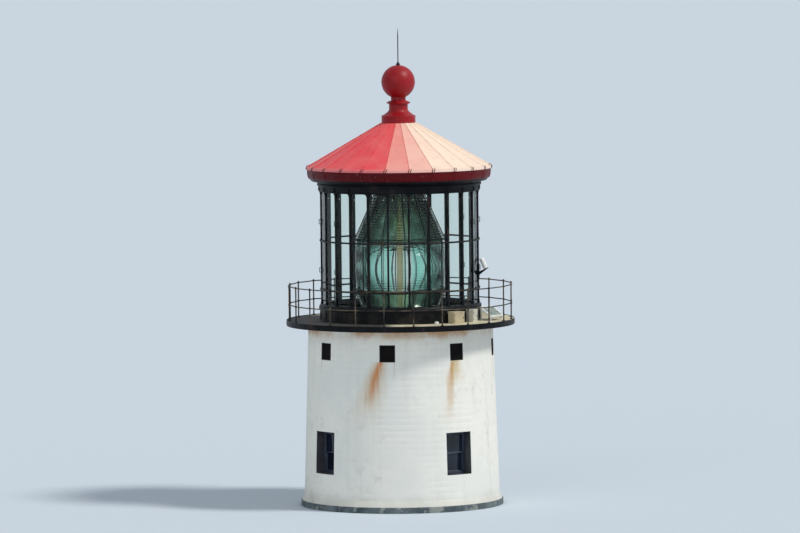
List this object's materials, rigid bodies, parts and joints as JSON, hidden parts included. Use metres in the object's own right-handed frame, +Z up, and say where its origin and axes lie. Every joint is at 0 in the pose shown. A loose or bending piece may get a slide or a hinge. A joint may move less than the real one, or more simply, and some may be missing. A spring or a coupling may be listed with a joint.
{
  "type": "lighthouse",
  "caption": "Short round white masonry lighthouse with an iron gallery, a glazed many-sided lantern, a beehive lens and a red roof with a ball ventilator.",
  "frame": {"origin": "on the ground, at the tower's axis", "axes": "+Z up; -Y towards the front, which one of the wall's eight ventilators faces; +X to the right seen from the front"},
  "size_m": [7.2806, 7.2806, 15.2084],
  "materials": {
    "whitewash": "limewashed render over brick",
    "concrete": "weathered concrete, partly painted",
    "black_iron": "black gloss paint, chalked, with some rust",
    "white_paint": "white gloss paint",
    "joinery": "dark blue painted timber",
    "window_glass": "clear sheet glass",
    "lantern_pane": "clear plate glass with a blue-green tint",
    "lens_glass": "polished green-tinted flint glass",
    "lens_metal": "dull bronze frame",
    "red_paint": "red gloss paint, faded and scuffed",
    "rod_metal": "bare metal",
    "beige_paint": "beige enamel",
    "panel_glass": "dusty tempered glass over cells",
    "white_plastic": "white moulded plastic",
    "floor_plate": "chequered iron plate"
  },
  "bodies": {
    "root": {"base_course": "concrete", "ground_floor": "concrete", "wall_front": "whitewash", "wall_front_right": "whitewash", "wall_right": "whitewash", "wall_back_right": "whitewash", "wall_back": "whitewash", "wall_back_left": "whitewash", "wall_left": "whitewash", "wall_front_left": "whitewash", "vent_piers": "whitewash", "wall_head": "whitewash", "window_frames": "joinery", "window_panes": "window_glass", "door_frame": "joinery", "door_leaf": "joinery", "gallery_deck": "concrete", "gallery_edge": "black_iron", "rail_posts": "black_iron", "gallery_rails": "black_iron", "lantern_floor": "floor_plate", "lantern_parapet": "black_iron", "lantern_sill": "black_iron", "mullions": "black_iron", "glazing_rings": "black_iron", "lantern_glass": "lantern_pane", "lantern_head": "black_iron", "roof_cornice": "red_paint", "roof_sheets": "red_paint", "roof_seams": "red_paint", "eave_fascia": "red_paint", "ventilator_base": "red_paint", "ventilator_ball": "red_paint", "lightning_rod": "rod_metal", "lens_lower_prisms": "lens_glass", "lens_belt": "lens_glass", "lens_upper_prisms": "lens_glass", "lens_frame": "lens_metal", "lens_crown": "lens_metal", "lens_pedestal": "lens_metal", "lamp_stand": "lens_metal", "solar_panel": "panel_glass", "panel_stand": "black_iron", "equipment_box": "beige_paint", "battery_box": "white_paint", "marker_lamp": "white_plastic", "lamp_bracket": "black_iron"}
  },
  "joints": []
}
